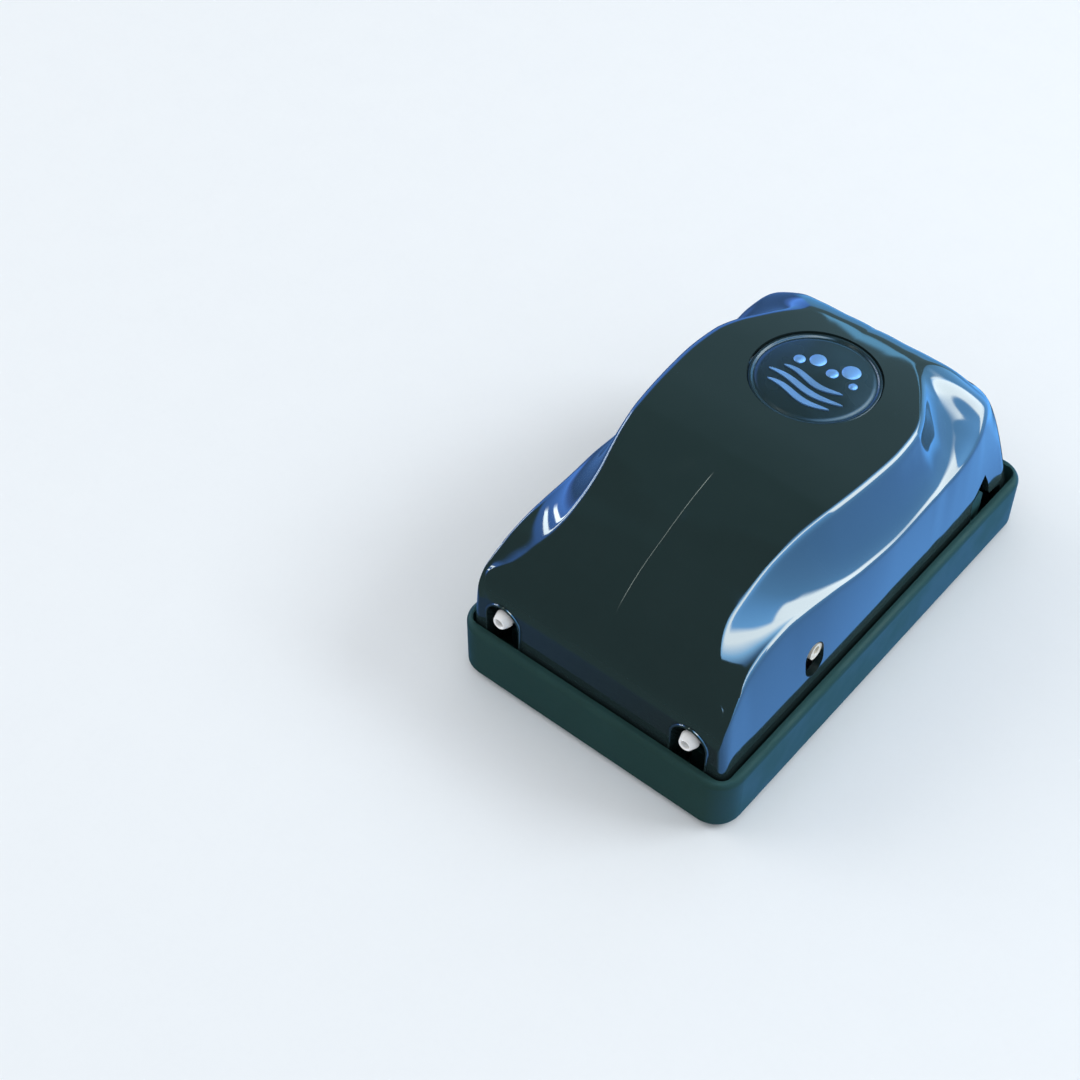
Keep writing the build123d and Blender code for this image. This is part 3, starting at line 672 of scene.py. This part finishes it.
def build_diaphragm(side):
    """A turned rubber cup running from its rim on the casing to its hub on the arm, as one fixed shape."""
    hub, rim, axis_y = 13.0, 24.0, -30.0
    profile = [
        (1.3, hub), (6.0, hub), (6.3, hub + 0.3), (6.6, hub + 2.0), (7.4, hub + 3.4), (9.0, rim - 4.6),
        (10.6, rim - 3.6), (11.7, rim - 3.2), (11.7, rim - 2.0), (13.5, rim - 2.0), (13.5, rim),
        (10.6, rim), (10.3, rim - 1.6), (9.6, rim - 2.7), (8.2, rim - 3.6), (6.6, rim - 5.2),
        (5.4, hub + 3.2), (4.9, hub + 2.4), (1.3, hub + 2.4),
    ]
    turned = [(radius, side * along) for radius, along in profile]
    hand = "right" if side > 0 else "left"
    cup = lathed(turned, "x", (axis_y, OUTLET_Z), f"rubber_cup_{hand}", 96, 60)
    dress(cup, "diaphragm_rubber", f"diaphragm_{hand}", rides=None)
    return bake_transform(cup)


for side in (1, -1):
    build_nozzle(side)
    build_diaphragm(side)


def build_grommet():
    """The cord's rubber gland: a bored sleeve with rounded flanges and grip rings."""
    low, high = mm_box("cord_grommet")
    centre = middle("cord_grommet")
    inner, outer = low[1], high[1]
    bore, sleeve, flange = 3.1, 4.5, 5.4
    profile = [(bore, inner + 0.4), (bore + 0.4, inner), (flange - 0.4, inner), (flange, inner + 0.4)]
    profile += [(flange, inner + 1.7), (flange - 0.3, inner + 2.0), (sleeve, inner + 2.0)]
    profile += [(sleeve, outer - 1.3), (flange, outer - 1.3), (flange, outer - 0.5), (flange - 0.5, outer)]
    profile += [(4.5, outer), (4.3, outer - 0.3), (4.1, outer), (bore + 0.4, outer), (bore, outer - 0.4)]
    grommet = lathed(profile, "y", (centre[0], centre[2]), "cord_gland", 64)
    return dress(grommet, "foot_rubber", "cord_grommet")


# ---------------------------------------------------------------- magnet drive and filter
def build_core():
    """The E core as a stack of varnished laminations."""
    low, high = mm_box("e_core")
    leg, window, back = 6.5, 15.5, 8.0
    half, inner = high[0], high[1] - back
    outline = [(-half, high[1]), (-half, low[1]), (-window, low[1]), (-window, inner), (-leg, inner), (-leg, low[1])]
    outline += [(-x, y) for x, y in outline[::-1]]
    count, gap = 32, 0.05
    pitch = (high[2] - low[2]) / count
    sheets = [prism(outline, low[2] + i * pitch, low[2] + (i + 1) * pitch - gap, "z") for i in range(count)]
    return dress(joined(sheets, "laminated_core"), "core_steel", "e_core")


def build_winding():
    """Turns of enamelled wire laid side by side round the bobbin."""
    low, high = mm_box("coil_winding")
    centre = middle("coil_winding")
    wire, inner_u, inner_v = 0.62, 7.8, 9.3
    count = int((high[1] - low[1]) / wire)
    turns = []
    for i in range(count):
        at = low[1] + (i + 0.5) * (high[1] - low[1]) / count
        outer_u, outer_v = high[0] - 0.05, high[2] - centre[2] - 0.05
        path = rounded_rectangle(outer_u, outer_v, 2.0, (centre[0], centre[2]), 5)
        depth = outer_u - inner_u
        upper = [(0.0, at + 0.12), (-0.25, at + 0.29), (-depth, at + 0.29)]
        section = [(0.0, at - 0.12)] + upper + [(-depth, at - 0.29), (-0.25, at - 0.29)]
        turns.append(swept(path, section, "y", "turn", closed=True))
    return dress(joined(turns, "wound_coil"), "copper_wire", "coil_winding")


def build_felt():
    """The filter's felt pad, its faces uneven with fibres."""
    low, high = mm_box("filter_felt")
    inset = 0.35
    bm = bmesh.new()
    bmesh.ops.create_cube(bm, size=1.0)
    size = high - low - 2 * inset
    bmesh.ops.scale(bm, vec=size, verts=bm.verts)
    bmesh.ops.translate(bm, vec=(low + high) / 2, verts=bm.verts)
    bmesh.ops.bevel(bm, geom=bm.edges[:], offset=0.8, segments=3, affect="EDGES")
    bmesh.ops.subdivide_edges(bm, edges=[e for e in bm.edges if e.calc_length() > 2], cuts=24, use_grid_fill=True)
    draws = np.random.default_rng(7)
    bm.normal_update()
    for vertex in bm.verts:
        vertex.co += vertex.normal * float(draws.uniform(-0.12, 0.25))
    felt = dress(to_object(bm, "felt_pad", 80), "filter_felt", "filter_felt")
    return felt


build_grommet()
build_core()
build_winding()
build_felt()


# ---------------------------------------------------------------- camera
AZIMUTH, ELEVATION = math.radians(39.95), math.radians(47.84)
DISTANCE, OFFSET_RIGHT, OFFSET_UP, FOCAL = 0.55304, -0.05995, 0.01245, 63.72


def place_camera():
    flat = math.cos(ELEVATION)
    back = Vector((math.sin(AZIMUTH) * flat, -math.cos(AZIMUTH) * flat, math.sin(ELEVATION)))
    right = Vector((math.cos(AZIMUTH), math.sin(AZIMUTH), 0))
    up = back.cross(right)
    lens = bpy.data.cameras.new("camera")
    lens.lens = FOCAL
    lens.sensor_width = 36
    lens.clip_start = 0.01
    camera = bpy.data.objects.new("camera", lens)
    camera.location = back * DISTANCE + right * OFFSET_RIGHT + up * OFFSET_UP + Vector((0, 0, TRAY_FOOT / 1000))
    camera.rotation_euler = Matrix((right, up, back)).transposed().to_euler()
    bpy.context.scene.collection.objects.link(camera)
    bpy.context.scene.camera = camera


# ---------------------------------------------------------------- studio
PEAK = 20.0                                   # brightest panel of the studio, in radiance
WHITE = (15.0, 17.5, 19.0)
DARK = (0.14, 0.30, 0.31)
# These four, like the ramps' colours, are shares of PEAK.
VEIL, HALO = (0.021, 0.038, 0.046, 1), (0.07, 0.20, 0.33, 1)
FRONT_DARK, RIDGE_LIGHT = (0.006, 0.012, 0.012, 1), (0.42, 0.48, 0.45, 1)
LEFT_STRIPS = (147.0, 160.0)                  # where each short streak of the left side starts, in degrees
# Panels as (degrees up from the right hand side about the length axis, radiance).
MAIN_PANELS = [
    (-180, (0.30, 0.75, 2.4)), (-172, (0.12, 0.32, 0.9)), (-125, (0.08, 0.2, 0.5)), (-112, (0.05, 0.07, 0.09)),
    (-92, (0.05, 0.08, 0.12)), (-78, (0.33, 0.98, 2.2)), (-60, (0.36, 1.05, 2.5)), (-40, (0.42, 1.22, 2.9)),
    (-20, (0.65, 1.9, 4.2)), (0, (1.0, 2.8, 5.8)), (20, (1.3, 3.7, 7.4)), (40, (1.9, 5.4, 11.0)),
    (60, (2.6, 7.0, 13.5)), (66, WHITE), (74, WHITE), (86, (4.0, 8.8, 14.5)), (94, (0.9, 2.4, 5.0)),
    (99, DARK), (136, DARK),
    (140, (0.50, 1.5, 4.6)), (173, (0.60, 1.75, 5.4)), (180, (0.30, 0.75, 2.4)),
]
REAR_PANELS = [
    (-180, (0.36, 1.25, 2.6)), (-150, (0.28, 0.95, 2.0)), (-128, (0.25, 0.9, 1.9)), (-112, (0.3, 1.0, 2.2)),
    (-85, (0.4, 1.4, 3.2)), (-60, (0.6, 2.2, 5.4)), (-20, (0.8, 2.6, 5.8)), (30, (1.1, 3.3, 6.8)),
    (80, (1.1, 3.1, 5.8)), (118, (0.75, 1.9, 3.0)), (135, (0.7, 1.9, 3.4)), (160, (0.5, 1.6, 3.2)),
    (180, (0.36, 1.25, 2.6)),
]


def panels(graph, share, stops):
    """A colour ramp over the panels; share is 0 to 1 for -180 to 180 degrees."""
    ramp = graph.add("ShaderNodeValToRGB", None, fac=share)
    elements = ramp.color_ramp.elements
    while len(elements) < len(stops):
        elements.new(0.5)
    for element, (angle, _) in zip(elements, stops):
        element.position = angle / 360 + 0.5
    for element, (_, radiance) in zip(elements, stops):
        element.color = (*[channel / PEAK for channel in radiance], 1)
    return ramp.outputs[0]


def window(graph, value, start, full, fade, end):
    """1 between full and fade, falling to 0 at start and end."""
    rise, fall = graph.smooth(value, start, full), graph.smooth(value, fade, end, (1.0, 0.0))
    return graph.math("MULTIPLY", rise, fall)


def studio_reflection(graph, direction):
    """What the gloss sees: long panels along the object's length, dark towards its front."""
    axes = graph.add("ShaderNodeSeparateXYZ", None, vector=direction).outputs
    across, along, up = axes["X"], axes["Y"], axes["Z"]
    share = graph.math("MULTIPLY_ADD", graph.math("ARCTAN2", up, across), 1 / (2 * math.pi), 0.5)
    angle = graph.math("MULTIPLY_ADD", share, 360.0, -180.0)
    white = (*[channel / PEAK for channel in WHITE], 1)
    behind = graph.smooth(along, 0.775, 0.84)
    colour = graph.blend(behind, panels(graph, share, MAIN_PANELS), panels(graph, share, REAR_PANELS))
    # A faint veil over the hood behind the badge.
    veil = graph.math("MULTIPLY", window(graph, angle, 96, 99, 135, 138), graph.smooth(along, 0.50, 0.77))
    colour = graph.blend(veil, colour, VEIL)
    # The streak along the right lower crease, then the two short ones on the left.
    crest = graph.math("MULTIPLY", window(graph, angle, 16, 32, 63, 68), window(graph, along, 0.40, 0.45, 0.74, 0.82))
    colour = graph.blend(crest, colour, white)
    for start in LEFT_STRIPS:
        strip = graph.math("MULTIPLY", window(graph, angle, start, start + 1, start + 5, start + 6),
                           window(graph, along, -0.60, -0.56, 0.30, 0.40))
        colour = graph.blend(strip, colour, white)
    # A thin line where the hood turns down to the rear.
    halo = graph.math("MULTIPLY", window(graph, along, 0.755, 0.765, 0.775, 0.785),
                      window(graph, angle, 90, 100, 124, 128))
    colour = graph.blend(halo, colour, HALO)
    # Nothing bright in front; the two sides see a little further forward than the hood.
    left = graph.smooth(angle, 134, 137)
    right = graph.smooth(angle, 86, 95, (1.0, 0.0))
    front = graph.math("MULTIPLY_ADD", graph.math("ADD", left, right), 0.45, along)
    colour = graph.blend(graph.smooth(front, -0.20, -0.10), FRONT_DARK, colour)
    # The narrow strip that lights the ridge of the hood.
    ridge = graph.math("MULTIPLY", window(graph, across, -0.412, -0.398, -0.370, -0.35), graph.smooth(up, 0.3, 0.4))
    ridge = graph.math("MULTIPLY", ridge, window(graph, along, -0.80, -0.60, 0.1, 0.35))
    return graph.blend(ridge, colour, RIDGE_LIGHT)


def build_world():
    world = bpy.data.worlds.new("studio")
    bpy.context.scene.world = world
    world.use_nodes = True
    graph = Graph(world.node_tree)
    world.node_tree.nodes.clear()
    direction = graph.add("ShaderNodeTexCoord").outputs["Generated"]
    seen = graph.add("ShaderNodeBackground", None, color=studio_reflection(graph, direction), strength=PEAK)
    soft = graph.add("ShaderNodeBackground", None, color=(0.90, 0.95, 1.0, 1), strength=0.80)
    glossy = graph.add("ShaderNodeLightPath").outputs["Is Glossy Ray"]
    chosen = graph.add("ShaderNodeMixShader", None, fac=glossy)
    graph.feed(chosen.inputs[1], soft.outputs[0])
    graph.feed(chosen.inputs[2], seen.outputs[0])
    graph.add("ShaderNodeOutputWorld", None, surface=chosen.outputs[0])


def softbox(name, place, target, size, power, colour):
    light = bpy.data.lights.new(name, "AREA")
    light.shape = "RECTANGLE"
    light.size, light.size_y = size
    light.energy = power
    light.color = colour
    lamp = bpy.data.objects.new(name, light)
    lamp.location = place
    lamp.rotation_euler = (Vector(target) - lamp.location).to_track_quat("-Z", "Y").to_euler()
    lamp.visible_glossy = False
    bpy.context.scene.collection.objects.link(lamp)


def build_floor():
    mesh = bpy.data.meshes.new("floor")
    mesh.from_pydata([(-4, -4, 0), (4, -4, 0), (4, 4, 0), (-4, 4, 0)], [], [(0, 1, 2, 3)])
    floor = bpy.data.objects.new("floor", mesh)
    bpy.context.scene.collection.objects.link(floor)
    paper = finish("studio_paper", (0.86, 0.87, 0.88), 0.9, 2.0, 0.004, mottle=0.01, ior=1.05)
    mesh.materials.append(paper)
    floor.visible_glossy = False


place_camera()
build_world()
softbox("key", (0.9, 0.75, 0.95), (0, 0, 0.03), (0.7, 0.5), 9, (0.85, 0.93, 1.0))
softbox("fill", (-1.1, -0.5, 1.0), (0, 0, 0.03), (0.8, 0.8), 4, (1.0, 0.97, 0.93))
build_floor()
bpy.context.scene.view_settings.view_transform = "Standard"
